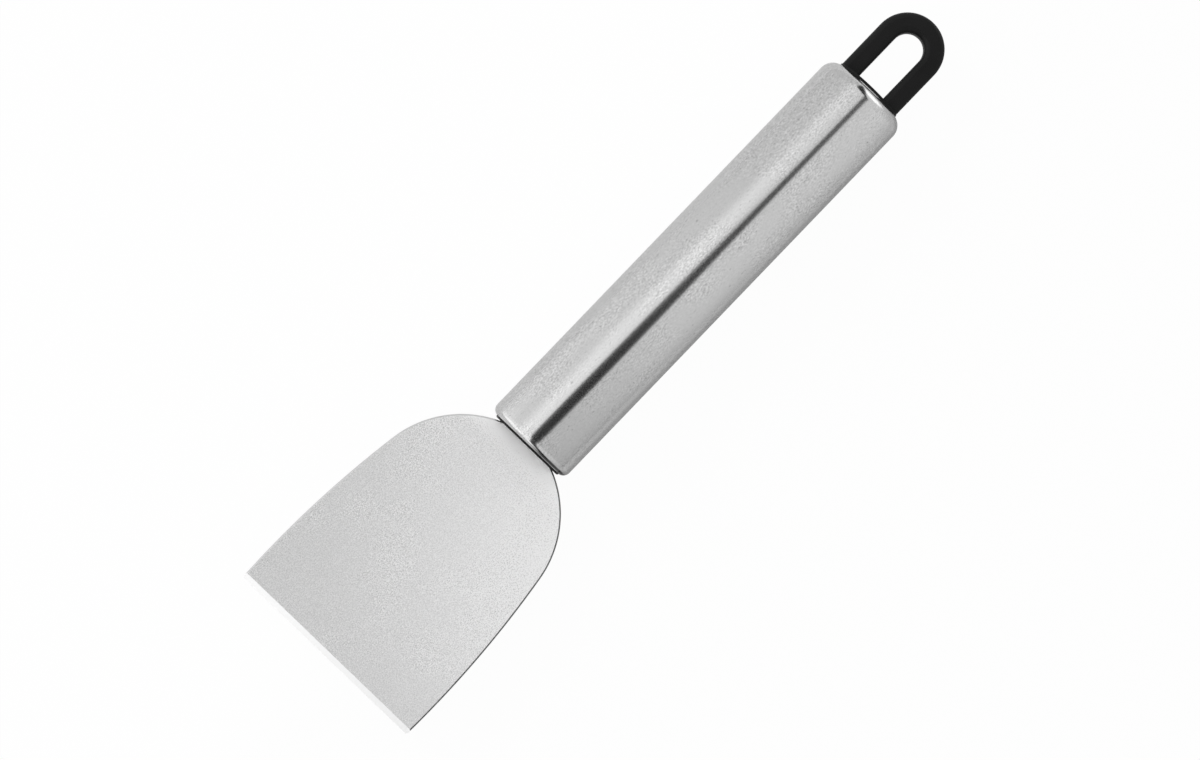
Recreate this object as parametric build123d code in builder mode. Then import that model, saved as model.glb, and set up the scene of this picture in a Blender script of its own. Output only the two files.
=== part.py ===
"""Pan scraper: a wide stainless blade on an oval tube handle with a hanging loop.

Millimetres. The handle lies along X with the blade toward -X and the loop toward +X, the blade's ground
bevel faces +Z, and the handle rests on the ground at Z = 0. The origin is below the middle of the tool.
"""
import math
import os

from build123d import *

# The tool's three stretches along X
blade_reach = 73.5
handle_length = 122.9
loop_reach = 23.6

# Handle tube: an oval of four arcs, with both rims rolled in over the plugs
handle_width = 25.0
handle_height = 18.0
handle_crown_radius = 16.0
tube_wall = 0.8
front_rim_radius = 2.1
rear_rim_radius = 3.8
front_opening_inset = 1.7

# Blade: stamped sheet, widest a little behind its cutting edge
blade_width = 57.3
blade_thickness = 1.5
blade_belly_setback = 10.0
blade_side_radius = 280.0
blade_shoulder_radius = 28.0
blade_root_depth = 0.3
blade_corner_radius = 0.6
blade_face_edge_bevel = 0.35
bevel_width = 1.6
cutting_land = 0.25

# Tang: the blade's tail inside the handle, with a hole that the moulded plug fills
tang_width = 14.0
tang_length = 28.0
tang_corner_radius = 3.0
tang_hole_diameter = 6.0
tang_hole_setback = 10.0

# Plugs: each fills the tube behind its rolled rim and stands a little out of it
plug_clearance = 0.1
plug_stand_out = 0.45
front_plug_length = 32.0
front_plug_edge_bevel = 0.3
rear_plug_length = 16.0
rear_plug_face = 4.0
rear_plug_skin = 1.8

# Hanging loop: a rounded bar bent to a U
loop_width = 18.6
loop_bar_width = 5.2
loop_bar_thickness = 4.6
loop_bar_edge_radius = 1.5
loop_opening_margin = 0.3

# Places along X and Z
total_length = blade_reach + handle_length + loop_reach
cutting_edge_x = -total_length / 2
front_face_x = cutting_edge_x + blade_reach
rear_face_x = front_face_x + handle_length
loop_tip_x = rear_face_x + loop_reach
axis_z = handle_height / 2
blade_back_z = axis_z - blade_thickness / 2
blade_face_z = axis_z + blade_thickness / 2

# How far the rear opening lies inside the handle's outline: just clear of the loop's legs
rear_opening_inset = (handle_width - loop_width) / 2 - loop_opening_margin


def cross_plane(x):
    """The plane across the handle at x, with its own Y along the handle's height."""
    return Plane(origin=(x, 0, axis_z), x_dir=(0, 1, 0), z_dir=(1, 0, 0))


def handle_oval(x, inset):
    """The handle's oval at x, drawn in evenly by inset: two crown arcs with rounded corners."""
    half_width = handle_width / 2
    half_height = handle_height / 2
    crown_drop = handle_crown_radius - half_height
    side_radius = (
        (2 * handle_crown_radius * half_height - half_width**2 - half_height**2)
        / (2 * (handle_crown_radius - half_width))
    )
    with BuildSketch(cross_plane(x)) as oval:
        with Locations((0, -crown_drop)):
            Circle(handle_crown_radius - inset)
        with Locations((0, crown_drop)):
            Circle(handle_crown_radius - inset, mode=Mode.INTERSECT)
        fillet(oval.vertices(), side_radius - inset)
    return oval.sketch


def seat_form(inset):
    """The space inside the handle at inset from its outside, with flat 45 degree seats behind both rims."""
    tangent_bevel_share = 2 - math.sqrt(2)
    with BuildPart() as form:
        extrude(handle_oval(front_face_x + inset, inset), amount=handle_length - 2 * inset)
        chamfer(form.faces().sort_by(Axis.X)[0].edges(), tangent_bevel_share * (front_rim_radius - inset))
        chamfer(form.faces().sort_by(Axis.X)[-1].edges(), tangent_bevel_share * (rear_rim_radius - inset))
    return form.part


plug_space = seat_form(tube_wall + plug_clearance)

# Handle tube: rounded rims outside, seats for the plugs inside, open at both ends
with BuildPart() as handle_tube:
    extrude(handle_oval(front_face_x, 0), amount=handle_length)
    fillet(handle_tube.faces().sort_by(Axis.X)[0].edges(), front_rim_radius)
    fillet(handle_tube.faces().sort_by(Axis.X)[-1].edges(), rear_rim_radius)
    add(seat_form(tube_wall), mode=Mode.SUBTRACT)
    extrude(
        handle_oval(front_face_x, front_opening_inset),
        amount=front_rim_radius,
        mode=Mode.SUBTRACT,
    )
    extrude(
        handle_oval(rear_face_x, rear_opening_inset),
        amount=-rear_rim_radius,
        mode=Mode.SUBTRACT,
    )

# Blade outline: the shoulder arc springs from the tang and runs tangent into the long side arc
belly = Vector(cutting_edge_x + blade_belly_setback, blade_width / 2)
side_centre = belly - Vector(0, blade_side_radius)
root = Vector(front_face_x + blade_root_depth, tang_width / 2)
centre_distance = blade_side_radius - blade_shoulder_radius
root_offset = root - side_centre
along = (centre_distance**2 - blade_shoulder_radius**2 + root_offset.length**2) / (2 * root_offset.length)
across = math.sqrt(centre_distance**2 - along**2)
root_direction = root_offset.normalized()
shoulder_centre = side_centre + root_direction * along + root_direction.rotate(Axis.Z, 90) * across
shoulder_end = side_centre + (shoulder_centre - side_centre).normalized() * blade_side_radius
corner_y = side_centre.Y + math.sqrt(blade_side_radius**2 - blade_belly_setback**2)
corner = Vector(cutting_edge_x, corner_y)
tang_end_x = front_face_x + tang_length

with BuildPart() as blade:
    with BuildSketch(Plane.XY.offset(blade_back_z)) as blade_outline:
        with BuildLine():
            Line((cutting_edge_x, 0), corner)
            RadiusArc(corner, shoulder_end, blade_side_radius)
            RadiusArc(shoulder_end, root, blade_shoulder_radius)
            Polyline(root, (tang_end_x, root.Y), (tang_end_x, 0))
            mirror(about=Plane.XZ)
        make_face()
        fillet(blade_outline.vertices().group_by(Axis.X)[0], blade_corner_radius)
        fillet(blade_outline.vertices().group_by(Axis.X)[-1], tang_corner_radius)
        with Locations((tang_end_x - tang_hole_setback, 0)):
            Circle(tang_hole_diameter / 2, mode=Mode.SUBTRACT)
    extrude(amount=blade_thickness)
    # The face's edge is dressed as far as the tang, and the back's is left crisp
    face_edges = blade.faces().sort_by(Axis.Z)[-1].outer_wire().edges()
    chamfer(face_edges.filter_by(lambda edge: edge.center().X < root.X), blade_face_edge_bevel)
    # The ground bevel, cut right across the face
    with BuildSketch(Plane.XZ):
        with BuildLine():
            Polyline(
                (cutting_edge_x - bevel_width, blade_back_z + cutting_land),
                (cutting_edge_x, blade_back_z + cutting_land),
                (cutting_edge_x + bevel_width, blade_face_z),
                (cutting_edge_x - bevel_width, blade_face_z),
                close=True,
            )
        make_face()
    extrude(amount=blade_width, both=True, mode=Mode.SUBTRACT)

# Front plug: moulded round the tang, whose hole it fills
with BuildPart() as front_plug:
    add(plug_space)
    split(bisect_by=Plane.YZ.offset(front_face_x + front_plug_length), keep=Keep.BOTTOM)
    extrude(
        handle_oval(front_face_x - plug_stand_out, front_opening_inset + plug_clearance),
        amount=plug_stand_out + front_rim_radius,
    )
    chamfer(front_plug.faces().sort_by(Axis.X)[0].edges(), front_plug_edge_bevel)
    add(blade.part, mode=Mode.SUBTRACT)

# Hanging loop and rear plug in one piece, the plug cored out from inside
loop_line_y = (loop_width - loop_bar_width) / 2
loop_bend_x = loop_tip_x - loop_width / 2
with BuildPart() as hang_loop:
    add(plug_space)
    split(bisect_by=Plane.YZ.offset(rear_face_x - rear_plug_length), keep=Keep.TOP)
    extrude(
        handle_oval(rear_face_x + plug_stand_out, rear_opening_inset + plug_clearance),
        amount=-plug_stand_out - rear_rim_radius,
    )
    extrude(
        handle_oval(rear_face_x - rear_plug_length, tube_wall + plug_clearance + rear_plug_skin),
        amount=rear_plug_length - rear_plug_face,
        mode=Mode.SUBTRACT,
    )
    with BuildLine(Plane.XY.offset(axis_z)) as loop_line:
        Line((rear_face_x, -loop_line_y), (loop_bend_x, -loop_line_y))
        CenterArc((loop_bend_x, 0), loop_line_y, -90, 180)
        Line((loop_bend_x, loop_line_y), (rear_face_x, loop_line_y))
    with BuildSketch(cross_plane(rear_face_x)):
        with Locations((-loop_line_y, 0)):
            RectangleRounded(loop_bar_width, loop_bar_thickness, loop_bar_edge_radius)
    sweep(path=loop_line.wire())

# One STEP file for each piece
os.makedirs("parts", exist_ok=True)
blade.part.label = "blade"
export_step(blade.part, "parts/blade.step")
front_plug.part.label = "front_plug"
export_step(front_plug.part, "parts/front_plug.step")
handle_tube.part.label = "handle_tube"
export_step(handle_tube.part, "parts/handle_tube.step")
hang_loop.part.label = "hang_loop"
export_step(hang_loop.part, "parts/hang_loop.step")
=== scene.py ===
"""Looks of the pan scraper: steel blade, tube handle and black loop on a white table in a soft tent."""

import math

import bmesh
import bpy
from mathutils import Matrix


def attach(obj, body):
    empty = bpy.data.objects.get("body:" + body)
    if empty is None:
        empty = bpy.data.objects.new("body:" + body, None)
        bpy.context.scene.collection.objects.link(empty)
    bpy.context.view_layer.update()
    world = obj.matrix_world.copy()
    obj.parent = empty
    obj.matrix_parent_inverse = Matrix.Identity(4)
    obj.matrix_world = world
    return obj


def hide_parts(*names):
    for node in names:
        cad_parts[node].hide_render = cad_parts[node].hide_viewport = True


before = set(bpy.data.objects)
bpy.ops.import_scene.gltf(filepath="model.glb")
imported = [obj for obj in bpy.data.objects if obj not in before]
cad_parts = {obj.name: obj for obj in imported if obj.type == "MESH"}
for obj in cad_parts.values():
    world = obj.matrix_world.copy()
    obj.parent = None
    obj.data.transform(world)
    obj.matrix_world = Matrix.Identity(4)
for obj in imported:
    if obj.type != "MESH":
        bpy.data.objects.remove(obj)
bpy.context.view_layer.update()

# The object's measures in metres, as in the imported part
MM = 0.001
CUTTING_EDGE_X = -110.0 * MM
FRONT_FACE_X = -36.5 * MM
REAR_FACE_X = 86.4 * MM
AXIS_Z = 9.0 * MM
CROWN_RADIUS = 16.0 * MM
HALF_WIDTH = 12.5 * MM
HALF_HEIGHT = 9.0 * MM
TUBE_WALL = 0.8 * MM
FRONT_RIM = 2.1 * MM
REAR_RIM = 3.8 * MM
FRONT_OPENING = 1.7 * MM
REAR_OPENING = 2.9 * MM
BLADE_THICKNESS = 1.5 * MM
BLADE_HALF_WIDTH = 28.65 * MM
BELLY_SETBACK = 10.0 * MM
SIDE_RADIUS = 280.0 * MM
SHOULDER_RADIUS = 28.0 * MM
ROOT_DEPTH = 0.3 * MM
CORNER_RADIUS = 0.6 * MM
FACE_EDGE = 0.38 * MM
BACK_EDGE = 0.1 * MM
BEVEL_WIDTH = 1.6 * MM
CUTTING_LAND = 0.25 * MM
TANG_WIDTH = 14.0 * MM
TANG_LENGTH = 28.0 * MM
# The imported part's facets lie this much inside its true curves, and so does the tube here
FACET_DEPTH = 0.012 * MM

# How finely the meshes are cut
TUBE_AROUND = 192
TUBE_LENGTH_STEPS = 40
RIM_STEPS = 14
CUTTING_EDGE_STEPS = 4
CORNER_STEPS = 6
SIDE_STEPS = 24
SHOULDER_STEPS = 36
FACE_EDGE_STEPS = 5
# A ring this far inside each rounded edge keeps the shading of the flat beside it flat
SUPPORT = 0.06 * MM
CUT_TOLERANCE = 1e-7
TUBE_SHARP_DEGREES = 40.0
BLADE_SHARP_DEGREES = 30.0

# The blade's material slots after its first, which is the face and back
BEVEL_SLOT = 1
DRESSED_AND_SHADED_SLOT = 2

# The photograph's scale: 1200 pixels show this width at the height of the blade
VIEW_WIDTH = 300.8 * MM
CAMERA_DISTANCE = 700.0 * MM
CAMERA_X = -12.28 * MM
CAMERA_Y = -1.86 * MM
# The camera stands this far from the frame's middle toward the blade, over the handle's front end:
# from there the dark band between blade and handle is seen where the photograph shows it
CAMERA_SETBACK = 24.0 * MM
HANDLE_ANGLE = math.radians(46.12)
SENSOR = 36.0
CLIP_START = 0.01
CLIP_END = 20.0

TABLE_HALF = 3.0


# Mesh helpers
def finished_mesh(name, mesh_data, materials, sharp_degrees):
    """Links a bmesh as an object that rides on the tool's one body, smooth but for its sharp edges."""
    mesh = bpy.data.meshes.new(name)
    bmesh.ops.recalc_face_normals(mesh_data, faces=mesh_data.faces)
    mesh_data.to_mesh(mesh)
    mesh_data.free()
    for material in materials:
        mesh.materials.append(material)
    mesh.shade_smooth()
    mesh.set_sharp_from_angle(angle=math.radians(sharp_degrees))
    made = bpy.data.objects.new(name, mesh)
    bpy.context.scene.collection.objects.link(made)
    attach(made, "root")
    return made


def bridge(mesh_data, first, second):
    """Faces between two closed rings of vertices."""
    count = len(first)
    faces = []
    for index in range(count):
        after = (index + 1) % count
        faces.append(mesh_data.faces.new((first[index], first[after], second[after], second[index])))
    return faces


# The handle
def oval_point(turn, inset):
    """Y and Z on the oval where its outward normal makes the angle turn with Y, drawn in by inset."""
    crown_drop = CROWN_RADIUS - HALF_HEIGHT
    side_radius = (
        (2 * CROWN_RADIUS * HALF_HEIGHT - HALF_WIDTH**2 - HALF_HEIGHT**2)
        / (2 * (CROWN_RADIUS - HALF_WIDTH))
    )
    side_offset = HALF_WIDTH - side_radius
    crown_share = side_offset / (CROWN_RADIUS - side_radius)
    along_y = math.cos(turn)
    along_z = math.sin(turn)
    if abs(along_y) <= crown_share:
        y = (CROWN_RADIUS - inset) * along_y
        z = (CROWN_RADIUS - inset) * along_z - math.copysign(crown_drop, along_z)
    else:
        y = (side_radius - inset) * along_y + math.copysign(side_offset, along_y)
        z = (side_radius - inset) * along_z
    return y, z


def oval_ring(mesh_data, x, inset, count):
    """One ring of vertices round the handle."""
    ring = []
    for index in range(count):
        y, z = oval_point(2 * math.pi * index / count, inset + FACET_DEPTH)
        ring.append(mesh_data.verts.new((x, y, AXIS_Z + z)))
    return ring


def rim_point(rim, angle):
    """How far a rim's surface lies behind the handle's end, and its inset, at an angle from its nose."""
    return rim * (1 - math.cos(angle)), rim * (1 - math.sin(angle))


def tube_profile():
    """X and inset of each ring of the tube's wall: over both rims outside, then back along its inside."""
    side = math.pi / 2
    front_end = math.asin(1 - FRONT_OPENING / FRONT_RIM)
    rear_end = math.asin(1 - REAR_OPENING / REAR_RIM)
    # Each plug's seat is a flat at 45 degrees that touches the rim's inner curve
    seat_share = 2 - math.sqrt(2)
    front_seat = seat_share * (FRONT_RIM - TUBE_WALL)
    rear_seat = seat_share * (REAR_RIM - TUBE_WALL)
    profile = []
    for step in range(RIM_STEPS):
        behind, inset = rim_point(FRONT_RIM, front_end + (side - front_end) * step / RIM_STEPS)
        profile.append((FRONT_FACE_X + behind, inset))
    start = FRONT_FACE_X + FRONT_RIM
    stop = REAR_FACE_X - REAR_RIM
    for step in range(TUBE_LENGTH_STEPS + 1):
        profile.append((start + (stop - start) * step / TUBE_LENGTH_STEPS, 0.0))
    for step in range(1, RIM_STEPS + 1):
        behind, inset = rim_point(REAR_RIM, side - (side - rear_end) * step / RIM_STEPS)
        profile.append((REAR_FACE_X - behind, inset))
    profile.append((REAR_FACE_X - TUBE_WALL, REAR_OPENING))
    profile.append((REAR_FACE_X - TUBE_WALL, TUBE_WALL + rear_seat))
    profile.append((REAR_FACE_X - TUBE_WALL - rear_seat, TUBE_WALL))
    profile.append((FRONT_FACE_X + TUBE_WALL + front_seat, TUBE_WALL))
    profile.append((FRONT_FACE_X + TUBE_WALL, TUBE_WALL + front_seat))
    profile.append((FRONT_FACE_X + TUBE_WALL, FRONT_OPENING))
    return profile


def make_tube(material):
    """The handle tube with its rolled rims."""
    shell = bmesh.new()
    rings = []
    for x, inset in tube_profile():
        rings.append(oval_ring(shell, x, inset, TUBE_AROUND))
    for index, ring in enumerate(rings):
        bridge(shell, ring, rings[(index + 1) % len(rings)])
    tube = finished_mesh("tube_shell", shell, [material], TUBE_SHARP_DEGREES)
    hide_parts("handle_tube")


# The blade
def arc_points(centre_x, centre_y, radius, start, stop, steps):
    """Points on an arc, both ends among them."""
    points = []
    for step in range(steps + 1):
        angle = start + (stop - start) * step / steps
        points.append((centre_x + radius * math.cos(angle), centre_y + radius * math.sin(angle)))
    return points


def blade_half_outline():
    """The blade's +Y half from the middle of its cutting edge to the middle of the tang's end."""
    side_x = CUTTING_EDGE_X + BELLY_SETBACK
    side_y = BLADE_HALF_WIDTH - SIDE_RADIUS
    root_x = FRONT_FACE_X + ROOT_DEPTH
    root_y = TANG_WIDTH / 2
    # The shoulder's centre: where its arc touches the side's arc from inside and ends at the tang's root
    apart = SIDE_RADIUS - SHOULDER_RADIUS
    offset_x = root_x - side_x
    offset_y = root_y - side_y
    reach = math.hypot(offset_x, offset_y)
    along = (apart**2 - SHOULDER_RADIUS**2 + reach**2) / (2 * reach)
    across = math.sqrt(apart**2 - along**2)
    shoulder_x = side_x + offset_x / reach * along - offset_y / reach * across
    shoulder_y = side_y + offset_y / reach * along + offset_x / reach * across
    join = math.atan2(shoulder_y - side_y, shoulder_x - side_x)
    root = math.atan2(root_y - shoulder_y, root_x - shoulder_x)
    corner_y = side_y + math.sqrt((SIDE_RADIUS - CORNER_RADIUS)**2 - (BELLY_SETBACK - CORNER_RADIUS)**2)
    corner_x = CUTTING_EDGE_X + CORNER_RADIUS
    side_start = math.atan2(corner_y - side_y, corner_x - side_x)
    tang_x = FRONT_FACE_X + TANG_LENGTH
    outline = []
    for step in range(CUTTING_EDGE_STEPS):
        outline.append((CUTTING_EDGE_X, corner_y * step / CUTTING_EDGE_STEPS))
    outline += arc_points(corner_x, corner_y, CORNER_RADIUS, math.pi, side_start, CORNER_STEPS)
    outline += arc_points(side_x, side_y, SIDE_RADIUS, side_start, join, SIDE_STEPS)[1:]
    outline += arc_points(shoulder_x, shoulder_y, SHOULDER_RADIUS, join, root, SHOULDER_STEPS)[1:]
    outline += [(tang_x, root_y), (tang_x, 0.0)]
    return outline


def inward_normals(outline):
    """Unit directions into the outline, halfway between those of the two edges at each point."""
    count = len(outline)
    normals = []
    for index in range(count):
        before = outline[index - 1]
        here = outline[index]
        after = outline[(index + 1) % count]
        first = (here[1] - before[1], before[0] - here[0])
        second = (after[1] - here[1], here[0] - after[0])
        first_length = math.hypot(*first)
        second_length = math.hypot(*second)
        x = first[0] / first_length + second[0] / second_length
        y = first[1] / first_length + second[1] / second_length
        length = math.hypot(x, y)
        normals.append((x / length, y / length))
    return normals


def cut_bevel(sheet, back_z):
    """Cuts the bevel across the cutting edge, down to a narrow land above the back, and marks its face."""
    rise = BLADE_THICKNESS - CUTTING_LAND
    cut = bmesh.ops.bisect_plane(
        sheet,
        geom=sheet.verts[:] + sheet.edges[:] + sheet.faces[:],
        dist=CUT_TOLERANCE,
        plane_co=(CUTTING_EDGE_X, 0.0, back_z + CUTTING_LAND),
        plane_no=(-rise, 0.0, BEVEL_WIDTH),
        clear_outer=True,
    )
    cut_edges = [item for item in cut["geom_cut"] if isinstance(item, bmesh.types.BMEdge)]
    ground = bmesh.ops.holes_fill(sheet, edges=cut_edges, sides=0)["faces"]
    for face in ground:
        face.material_index = BEVEL_SLOT


def make_blade(material, ground_material, dressed_and_shaded_material):
    """The stamped blade: rounded on its face, crisp on its back, with the ground bevel cut across."""
    half = blade_half_outline()
    mirrored = [(x, -y) for x, y in reversed(half[1:-1])]
    outline = half + mirrored
    normals = inward_normals(outline)
    back_z = AXIS_Z - BLADE_THICKNESS / 2
    face_z = AXIS_Z + BLADE_THICKNESS / 2
    # Inset and height of each ring from the back over the edge to the face
    levels = [(BACK_EDGE + SUPPORT, back_z), (BACK_EDGE, back_z), (0.0, back_z + BACK_EDGE)]
    rounded_from = len(levels)
    rounded_to = rounded_from + FACE_EDGE_STEPS
    for step in range(FACE_EDGE_STEPS + 1):
        angle = math.pi / 2 * step / FACE_EDGE_STEPS
        levels.append((FACE_EDGE * (1 - math.cos(angle)), face_z - FACE_EDGE * (1 - math.sin(angle))))
    levels.append((FACE_EDGE + SUPPORT, face_z))
    sheet = bmesh.new()
    rings = []
    for inset, z in levels:
        ring = []
        for (x, y), (normal_x, normal_y) in zip(outline, normals):
            ring.append(sheet.verts.new((x + normal_x * inset, y + normal_y * inset, z)))
        rings.append(ring)
    for index, (lower, upper) in enumerate(zip(rings, rings[1:])):
        made = bridge(sheet, lower, upper)
        if rounded_from <= index < rounded_to:
            for face in made:
                face.material_index = DRESSED_AND_SHADED_SLOT
    sheet.faces.new(rings[0])
    sheet.faces.new(rings[-1])
    cut_bevel(sheet, back_z)
    materials = [material, ground_material, dressed_and_shaded_material]
    blade = finished_mesh("blade_sheet", sheet, materials, BLADE_SHARP_DEGREES)
    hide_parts("blade")


# Node helpers
NOISE_MEAN = 0.5
# How far a seed moves the noise along each axis
SEED_SHIFT = (1.0, 1.7, 0.6)


def feed(tree, socket, value):
    """Links a socket or sets a plain value."""
    if isinstance(value, bpy.types.NodeSocket):
        tree.links.new(value, socket)
    else:
        socket.default_value = value


def calc(tree, operation, *values):
    """A Math node's result."""
    node = tree.nodes.new("ShaderNodeMath")
    node.operation = operation
    for index, value in enumerate(values):
        feed(tree, node.inputs[index], value)
    return node.outputs[0]


def scaled(tree, value, share, base):
    """The value times its share, on top of a base."""
    return calc(tree, "MULTIPLY_ADD", value, share, base)


def ranged(tree, value, low, high, to_low=0.0, to_high=1.0, smooth=True):
    """Maps a value from one range to another, held at its ends."""
    node = tree.nodes.new("ShaderNodeMapRange")
    node.interpolation_type = "SMOOTHSTEP" if smooth else "LINEAR"
    for name, given in (
        ("Value", value),
        ("From Min", low),
        ("From Max", high),
        ("To Min", to_low),
        ("To Max", to_high),
    ):
        feed(tree, node.inputs[name], given)
    return node.outputs["Result"]


def axes(tree, vector):
    """The X, Y and Z of a place or a direction."""
    node = tree.nodes.new("ShaderNodeSeparateXYZ")
    tree.links.new(vector, node.inputs[0])
    return node.outputs


def noise(tree, coordinates, stretch, detail=2.0, roughness=0.5, seed=0.0):
    """Noise whose grain is 1 divided by stretch along each axis, in metres."""
    mapping = tree.nodes.new("ShaderNodeMapping")
    mapping.inputs["Scale"].default_value = stretch
    mapping.inputs["Location"].default_value = [seed * shift for shift in SEED_SHIFT]
    tree.links.new(coordinates, mapping.inputs["Vector"])
    node = tree.nodes.new("ShaderNodeTexNoise")
    node.inputs["Scale"].default_value = 1.0
    node.inputs["Detail"].default_value = detail
    node.inputs["Roughness"].default_value = roughness
    tree.links.new(mapping.outputs["Vector"], node.inputs["Vector"])
    return node.outputs["Fac"]


def grey(tree, level):
    """A neutral colour of that level."""
    node = tree.nodes.new("ShaderNodeCombineColor")
    for name in ("Red", "Green", "Blue"):
        feed(tree, node.inputs[name], level)
    return node.outputs["Color"]


def bumped(tree, height, strength, distance, under=None):
    """A normal bent by a height."""
    node = tree.nodes.new("ShaderNodeBump")
    node.inputs["Strength"].default_value = strength
    node.inputs["Distance"].default_value = distance
    tree.links.new(height, node.inputs["Height"])
    if under is not None:
        tree.links.new(under, node.inputs["Normal"])
    return node.outputs["Normal"]


def blended(tree, share, first, second):
    """A mix of two shaders, with that share of the second."""
    mix = tree.nodes.new("ShaderNodeMixShader")
    tree.links.new(share, mix.inputs[0])
    tree.links.new(first.outputs[0], mix.inputs[1])
    tree.links.new(second.outputs[0], mix.inputs[2])
    return mix.outputs[0]


def new_material(name, metallic=1.0):
    """A material with its shader and the object's own coordinates."""
    material = bpy.data.materials.new(name)
    material.use_nodes = True
    tree = material.node_tree
    shader = tree.nodes["Principled BSDF"]
    shader.inputs["Metallic"].default_value = metallic
    coordinates = tree.nodes.new("ShaderNodeTexCoord").outputs["Object"]
    return material, tree, shader, coordinates


def dress(tree, shader, tone, rough, normal):
    """Gives a shader its grey tone, its roughness and its bent normal."""
    tree.links.new(grey(tree, tone), shader.inputs["Base Color"])
    tree.links.new(rough, shader.inputs["Roughness"])
    tree.links.new(normal, shader.inputs["Normal"])


# Materials
def lip_painted_shade(tree, place):
    """How much painted shade darkens the tube's front rim lip: only on the -Y half, where it stands for the
    dark reflection of the shade between blade and handle.
    """
    lip_x = FRONT_FACE_X + 0.55 * MM
    core = 0.2 * MM
    reach = 0.55 * MM
    most = 0.9
    full_y = -5.0 * MM
    end_y = 0.5 * MM
    spot = axes(tree, place)
    off_lip = calc(tree, "ABSOLUTE", calc(tree, "SUBTRACT", spot["X"], lip_x))
    lip = ranged(tree, off_lip, core, reach, to_low=most, to_high=0.0)
    return calc(tree, "MULTIPLY", lip, ranged(tree, spot["Y"], full_y, end_y, to_low=1.0, to_high=0.0))


def tube_steel():
    """Satin steel tube, brushed along its length, with painted shade on its front lip's -Y half."""
    material, tree, shader, place = new_material("brushed_tube_steel")
    fine = noise(tree, place, stretch=(1500.0, 2900.0, 2900.0), detail=3.0, roughness=0.8)
    flecks = noise(tree, place, stretch=(900.0, 2400.0, 2400.0), detail=1.0, seed=3.0)
    patches = noise(tree, place, stretch=(60.0, 110.0, 110.0), detail=1.0, seed=5.0)
    broad = noise(tree, place, stretch=(22.0, 160.0, 160.0), detail=1.0, seed=7.0)
    waves = noise(tree, place, stretch=(25.0, 150.0, 150.0), detail=0.0, seed=11.0)
    mean_tone = 0.59
    grain = calc(tree, "SUBTRACT", fine, NOISE_MEAN)
    grain_share = ranged(tree, patches, low=0.38, high=0.62, to_low=0.25, to_high=1.1)
    tone = calc(tree, "ADD", calc(tree, "MULTIPLY", grain, grain_share), mean_tone)
    tone = scaled(tree, broad, share=0.05, base=tone)
    tone = calc(tree, "SUBTRACT", tone, ranged(tree, flecks, low=0.66, high=0.8, to_low=0.0, to_high=0.2))
    # Painted shade: the front lip's -Y half is darkened as if it reflected the shadow between blade and
    # handle
    tone = calc(tree, "MULTIPLY", tone, calc(tree, "SUBTRACT", 1.0, lip_painted_shade(tree, place)))
    rough = scaled(tree, fine, share=0.04, base=0.09)
    rough = scaled(tree, broad, share=0.03, base=rough)
    slow = bumped(tree, waves, strength=0.2, distance=0.045 * MM)
    dress(tree, shader, tone, rough, bumped(tree, fine, strength=0.28, distance=0.01 * MM, under=slow))
    return material


def blade_painted_light(tree, place):
    """The painted light added to the blade's tone: lighter toward the handle and -Y, and most at the neck,
    where it paints out the handle's shade.
    """
    lighter_end_x = -45.0 * MM
    slant_end_x = -60.0 * MM
    neck_x = -44.0 * MM
    edge_added = -0.045
    handle_added = 0.085
    neck_painted_light = 0.22
    # Tone per metre of Y, at the cutting edge and toward the handle
    edge_slant = -0.9
    handle_slant = -3.2
    spot = axes(tree, place)
    added = ranged(tree, spot["X"], CUTTING_EDGE_X, lighter_end_x, edge_added, handle_added, smooth=False)
    slant = ranged(tree, spot["X"], CUTTING_EDGE_X, slant_end_x, edge_slant, handle_slant, smooth=False)
    added = calc(tree, "MULTIPLY_ADD", spot["Y"], slant, added)
    neck = ranged(tree, spot["X"], neck_x, FRONT_FACE_X, to_low=0.0, to_high=neck_painted_light)
    return calc(tree, "ADD", added, neck)


def blade_steel():
    """Matt blasted steel with a fine even grain, and painted light on top."""
    material, tree, shader, place = new_material("blasted_blade_steel")
    grain = noise(tree, place, stretch=(3300.0, 3300.0, 3300.0), detail=2.0, roughness=0.6)
    drift = noise(tree, place, stretch=(45.0, 45.0, 45.0), detail=3.0, seed=5.0)
    mean_tone = 0.81
    grain_share = ranged(tree, drift, low=0.4, high=0.6, to_low=0.6, to_high=1.15)
    tone = calc(tree, "SUBTRACT", grain, NOISE_MEAN)
    tone = calc(tree, "MULTIPLY_ADD", tone, grain_share, mean_tone)
    tone = scaled(tree, drift, share=0.06, base=tone)
    # Painted light: lighter toward the handle and -Y, and brightest at the neck against the handle's shade
    tone = calc(tree, "ADD", blade_painted_light(tree, place), tone)
    rough = scaled(tree, drift, share=0.06, base=0.67)
    dress(tree, shader, tone, rough, bumped(tree, grain, strength=0.3, distance=0.03 * MM))
    return material


def ground_steel():
    """The bright ground bevel, with fine grinding lines across it."""
    material, tree, shader, place = new_material("ground_edge_steel")
    lines = noise(tree, place, stretch=(500.0, 6000.0, 500.0), detail=3.0, roughness=0.6)
    tone = scaled(tree, lines, share=0.1, base=0.88)
    rough = scaled(tree, lines, share=0.1, base=0.28)
    dress(tree, shader, tone, rough, bumped(tree, lines, strength=0.15, distance=0.01 * MM))
    return material


def dressed_and_shaded_steel():
    """The blade's rounded face edge: smoother than the face, and with painted shade on its -Y side."""
    material, tree, shader, place = new_material("dressed_edge_steel_painted_shade")
    lines = noise(tree, place, stretch=(1800.0, 1800.0, 1800.0), detail=2.0, roughness=0.6)
    # Painted shade: the edge's tone falls toward -Y, where the light is dimmer
    sides = ranged(tree, axes(tree, place)["Y"], -4.0 * MM, 4.0 * MM, to_low=0.06, to_high=0.56)
    tone = scaled(tree, lines, share=0.2, base=sides)
    rough = scaled(tree, lines, share=0.1, base=0.28)
    dress(tree, shader, tone, rough, bumped(tree, lines, strength=0.2, distance=0.01 * MM))
    return material


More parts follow.
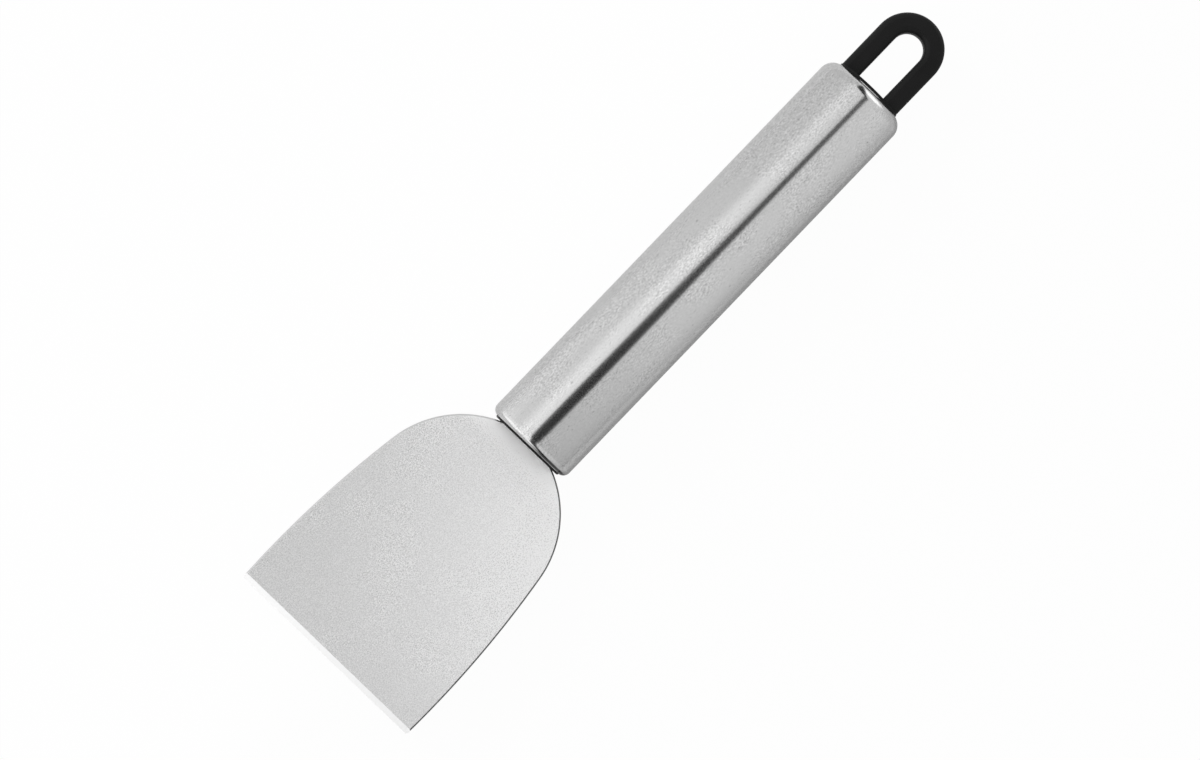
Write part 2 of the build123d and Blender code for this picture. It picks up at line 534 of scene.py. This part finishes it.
def black_plastic():
    """Moulded black plastic with a soft sheen."""
    material, tree, shader, place = new_material("moulded_black_plastic", metallic=0.0)
    peel = noise(tree, place, stretch=(900.0, 900.0, 900.0))
    clouds = noise(tree, place, stretch=(110.0, 110.0, 110.0), seed=4.0)
    tone = scaled(tree, clouds, share=0.006, base=0.006)
    rough = scaled(tree, clouds, share=0.12, base=0.3)
    shader.inputs["Specular IOR Level"].default_value = 0.12
    dress(tree, shader, tone, rough, bumped(tree, peel, strength=0.15, distance=0.02 * MM))
    return material


def table_white():
    """White table: plain white to the eye, with some of the object's soft shadow left on it.

    Its diffuse tone is lower on the -Y side, a painted shadow that shows in what the steel reflects there.
    """
    eye_share = 0.97
    reflected_share = 0.05
    material = bpy.data.materials.new("white_table")
    material.use_nodes = True
    tree = material.node_tree
    tree.nodes.clear()
    place = tree.nodes.new("ShaderNodeTexCoord").outputs["Object"]
    # Painted shadow: the diffuse tone is darker on the -Y side of the tool
    sides = ranged(tree, axes(tree, place)["Y"], -12.0 * MM, 12.0 * MM, to_low=0.6, to_high=0.785)
    diffuse = tree.nodes.new("ShaderNodeBsdfDiffuse")
    tree.links.new(grey(tree, sides), diffuse.inputs["Color"])
    glow = tree.nodes.new("ShaderNodeEmission")
    glow.inputs["Strength"].default_value = 1.0
    path = tree.nodes.new("ShaderNodeLightPath")
    share = calc(tree, "MAXIMUM", path.outputs["Is Glossy Ray"], path.outputs["Is Transmission Ray"])
    share = calc(tree, "MULTIPLY", share, reflected_share)
    share = scaled(tree, path.outputs["Is Camera Ray"], share=eye_share, base=share)
    output = tree.nodes.new("ShaderNodeOutputMaterial")
    tree.links.new(blended(tree, share, diffuse, glow), output.inputs["Surface"])
    return material


def make_table():
    """The table that the tool lies on."""
    low = -TABLE_HALF
    high = TABLE_HALF
    top = bmesh.new()
    corners = []
    for x, y in ((low, low), (high, low), (high, high), (low, high)):
        corners.append(top.verts.new((x, y, 0.0)))
    top.faces.new(corners)
    mesh = bpy.data.meshes.new("table")
    top.to_mesh(mesh)
    top.free()
    mesh.materials.append(table_white())
    table = bpy.data.objects.new("table", mesh)
    bpy.context.scene.collection.objects.link(table)


# Light. The tent's directions run along the handle toward the loop (X), across it (Y) and up (Z).
# Brightness by lean in degrees, from straight down past -Y, the top and +Y to straight down again
LEAN_LEVELS = (
    (-180, 0.5), (-130, 0.5), (-90, 0.67), (-80, 0.73), (-60, 0.86), (-40, 0.9), (-22, 0.9), (-10, 0.9),
    (0, 1.0), (12, 1.14), (22, 1.2), (30, 1.08), (38, 0.93), (50, 0.9), (80, 0.88), (110, 0.86), (180, 0.6),
)
# Share of that brightness on the +Y side and on the -Y side, by place along the handle
END_SHARES = (
    (-1.0, 0.88, 1.0), (-0.93, 1.28, 0.84), (-0.8, 1.16, 0.86), (-0.6, 1.08, 0.88), (-0.4, 1.06, 0.9),
    (-0.25, 1.06, 0.9), (-0.05, 1.06, 0.72), (0.025, 1.02, 0.74), (0.055, 1.0, 0.98), (0.13, 0.92, 0.98),
    (0.17, 0.85, 0.98), (0.4, 0.83, 0.96), (1.0, 0.8, 0.96),
)
# Half the width over which one side's share gives way to the other's
SIDE_BLEND = 0.08
# Soft bright panels: where each aims, the cosines to it at which it begins and is full, and what it adds
PANELS = (
    ((-0.8, 0.56, 0.2), 0.9, 0.98, 0.4),
    ((-0.4, 0.82, 0.42), 0.86, 0.98, 0.22),
    ((-1.0, -0.16, 0.05), 0.92, 0.985, 0.36),
    ((0.95, -0.17, 0.22), 0.945, 0.98, 0.8),
)
# The dark gap above the handle, by place along it: its middle across as a share of the way from -1 to 1,
# its half width, and the share of light left in it
GAP = (
    (-1.0, 0.2, 0.34, 0.08), (-0.97, 0.24, 0.34, 0.08), (-0.93, 0.35, 0.33, 0.08),
    (-0.88, 0.4, 0.24, 0.08), (-0.83, 0.445, 0.15, 0.08), (-0.77, 0.455, 0.12, 0.08),
    (-0.6, 0.465, 0.11, 0.08), (-0.1, 0.47, 0.13, 0.05), (0.011, 0.4725, 0.18, 0.04),
    (0.032, 0.4605, 0.181, 0.045), (0.06, 0.457, 0.164, 0.04), (0.089, 0.4548, 0.1375, 0.06),
    (0.118, 0.445, 0.082, 0.16), (0.165, 0.446, 0.073, 0.13), (0.5, 0.4425, 0.075, 0.1),
    (0.61, 0.455, 0.085, 0.1), (0.67, 0.51, 0.14, 0.07), (0.73, 0.55, 0.165, 0.05),
    (0.8, 0.555, 0.15, 0.05), (0.87, 0.56, 0.135, 0.05), (0.95, 0.555, 0.09, 0.05),
    (0.985, 0.55, 0.05, 0.05), (1.0, 0.55, 0.0, 0.05),
)
GAP_SOFT_EDGE = 0.016
# A colour ramp holds no more than 1, so it is given brightness in halves
RAMP_PART = 2.0
RAMP_CHANNELS = 3

LAMP_ENERGY = 1.6
LAMP_ANGLE = math.radians(18.0)
LAMP_TILT = math.radians(-63.0)


def ramped(tree, value, low, high, stops):
    """Up to three numbers that follow the value through stops of (value, number, ...)."""
    ramp = tree.nodes.new("ShaderNodeValToRGB")
    elements = ramp.color_ramp.elements
    while len(elements) < len(stops):
        elements.new(0.5)
    for element, (at, *numbers) in zip(elements, stops):
        spare = [0.0] * (RAMP_CHANNELS - len(numbers))
        element.position = (at - low) / (high - low)
        element.color = (*numbers, *spare, 1.0)
    tree.links.new(ranged(tree, value, low, high, smooth=False), ramp.inputs["Fac"])
    split = tree.nodes.new("ShaderNodeSeparateColor")
    tree.links.new(ramp.outputs["Color"], split.inputs["Color"])
    return split.outputs


def in_parts(stops):
    """Stops with each of their numbers, but not the value that it follows, in halves for a ramp."""
    return [(at, *(number / RAMP_PART for number in numbers)) for at, *numbers in stops]


def lean_level(tree, across, up):
    """The tent's brightness by lean."""
    lean = calc(tree, "DEGREES", calc(tree, "ARCTAN2", across, up))
    level = ramped(tree, lean, -180.0, 180.0, in_parts(LEAN_LEVELS))[0]
    return calc(tree, "MULTIPLY", level, RAMP_PART)


def end_share(tree, along, across):
    """The share of that brightness by place along the handle, on each side."""
    plus_share, minus_share, _ = ramped(tree, along, -1.0, 1.0, in_parts(END_SHARES))
    plus_side = ranged(tree, across, -SIDE_BLEND, SIDE_BLEND)
    minus_side = calc(tree, "SUBTRACT", 1.0, plus_side)
    share = calc(tree, "MULTIPLY", plus_share, plus_side)
    share = calc(tree, "MULTIPLY_ADD", minus_share, minus_side, share)
    return calc(tree, "MULTIPLY", share, RAMP_PART)


def panel(tree, direction, aim, none, full, gain):
    """A soft bright patch of the tent round the direction aim, from none to full of their common cosine."""
    length = math.sqrt(sum(part * part for part in aim))
    dot = tree.nodes.new("ShaderNodeVectorMath")
    dot.operation = "DOT_PRODUCT"
    tree.links.new(direction, dot.inputs[0])
    dot.inputs[1].default_value = [part / length for part in aim]
    return ranged(tree, dot.outputs["Value"], none, full, to_high=gain)


def gap_share(tree, along, across):
    """The share of light that the dark gap leaves: 1 outside it."""
    place, half_width, left = ramped(tree, along, -1.0, 1.0, GAP)
    middle = scaled(tree, place, share=2.0, base=-1.0)
    off_middle = calc(tree, "ABSOLUTE", calc(tree, "SUBTRACT", across, middle))
    inner = calc(tree, "SUBTRACT", half_width, GAP_SOFT_EDGE)
    outer = calc(tree, "ADD", half_width, GAP_SOFT_EDGE)
    open_side = ranged(tree, off_middle, inner, outer)
    shut_side = calc(tree, "MULTIPLY", calc(tree, "SUBTRACT", 1.0, open_side), left)
    return calc(tree, "ADD", open_side, shut_side)


def make_light():
    """A soft white tent with bright sides and a narrow dark gap above the handle, bent at both ends."""
    world = bpy.data.worlds.new("tent")
    bpy.context.scene.world = world
    world.use_nodes = True
    tree = world.node_tree
    tree.nodes.clear()
    direction = tree.nodes.new("ShaderNodeTexCoord").outputs["Generated"]
    along, across, up = axes(tree, direction)
    level = calc(tree, "MULTIPLY", lean_level(tree, across, up), end_share(tree, along, across))
    for aim, none, full, gain in PANELS:
        level = calc(tree, "ADD", level, panel(tree, direction, aim, none, full, gain))
    level = calc(tree, "MULTIPLY", level, gap_share(tree, along, across))
    tent = tree.nodes.new("ShaderNodeBackground")
    tree.links.new(grey(tree, level), tent.inputs["Color"])
    plain = tree.nodes.new("ShaderNodeBackground")
    plain.inputs["Color"].default_value = (1.0, 1.0, 1.0, 1.0)
    path = tree.nodes.new("ShaderNodeLightPath")
    shown = calc(tree, "MAXIMUM", path.outputs["Is Camera Ray"], path.outputs["Is Transmission Ray"])
    output = tree.nodes.new("ShaderNodeOutputWorld")
    tree.links.new(blended(tree, shown, tent, plain), output.inputs["Surface"])


def make_lamp():
    """A low soft lamp on the +Y side, which the steel doesn't show: it deepens the shadow on the table."""
    lamp = bpy.data.lights.new("low_lamp", "SUN")
    lamp.energy = LAMP_ENERGY
    lamp.angle = LAMP_ANGLE
    holder = bpy.data.objects.new("low_lamp", lamp)
    holder.rotation_euler = (LAMP_TILT, 0.0, 0.0)
    holder.visible_glossy = False
    bpy.context.scene.collection.objects.link(holder)


def make_camera():
    """Straight down on the tool, turned as the photograph is."""
    lens = bpy.data.cameras.new("camera")
    lens.sensor_width = SENSOR
    lens.lens = SENSOR * CAMERA_DISTANCE / VIEW_WIDTH
    lens.clip_start = CLIP_START
    lens.clip_end = CLIP_END
    camera = bpy.data.objects.new("camera", lens)
    camera.location = (CAMERA_X - CAMERA_SETBACK, CAMERA_Y, AXIS_Z + CAMERA_DISTANCE)
    lens.shift_x = CAMERA_SETBACK * math.cos(HANDLE_ANGLE) / VIEW_WIDTH
    lens.shift_y = CAMERA_SETBACK * math.sin(HANDLE_ANGLE) / VIEW_WIDTH
    camera.rotation_euler = (0.0, 0.0, -HANDLE_ANGLE)
    bpy.context.scene.collection.objects.link(camera)
    bpy.context.scene.camera = camera


def dress_plugs(material):
    """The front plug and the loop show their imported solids, in black plastic."""
    for node_name in ("front_plug", "hang_loop"):
        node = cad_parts[node_name]
        node.data.materials.clear()
        node.data.materials.append(material)


make_camera()
make_light()
make_lamp()
make_table()
make_tube(tube_steel())
make_blade(blade_steel(), ground_steel(), dressed_and_shaded_steel())
dress_plugs(black_plastic())

bpy.context.scene.view_settings.view_transform = "Standard"
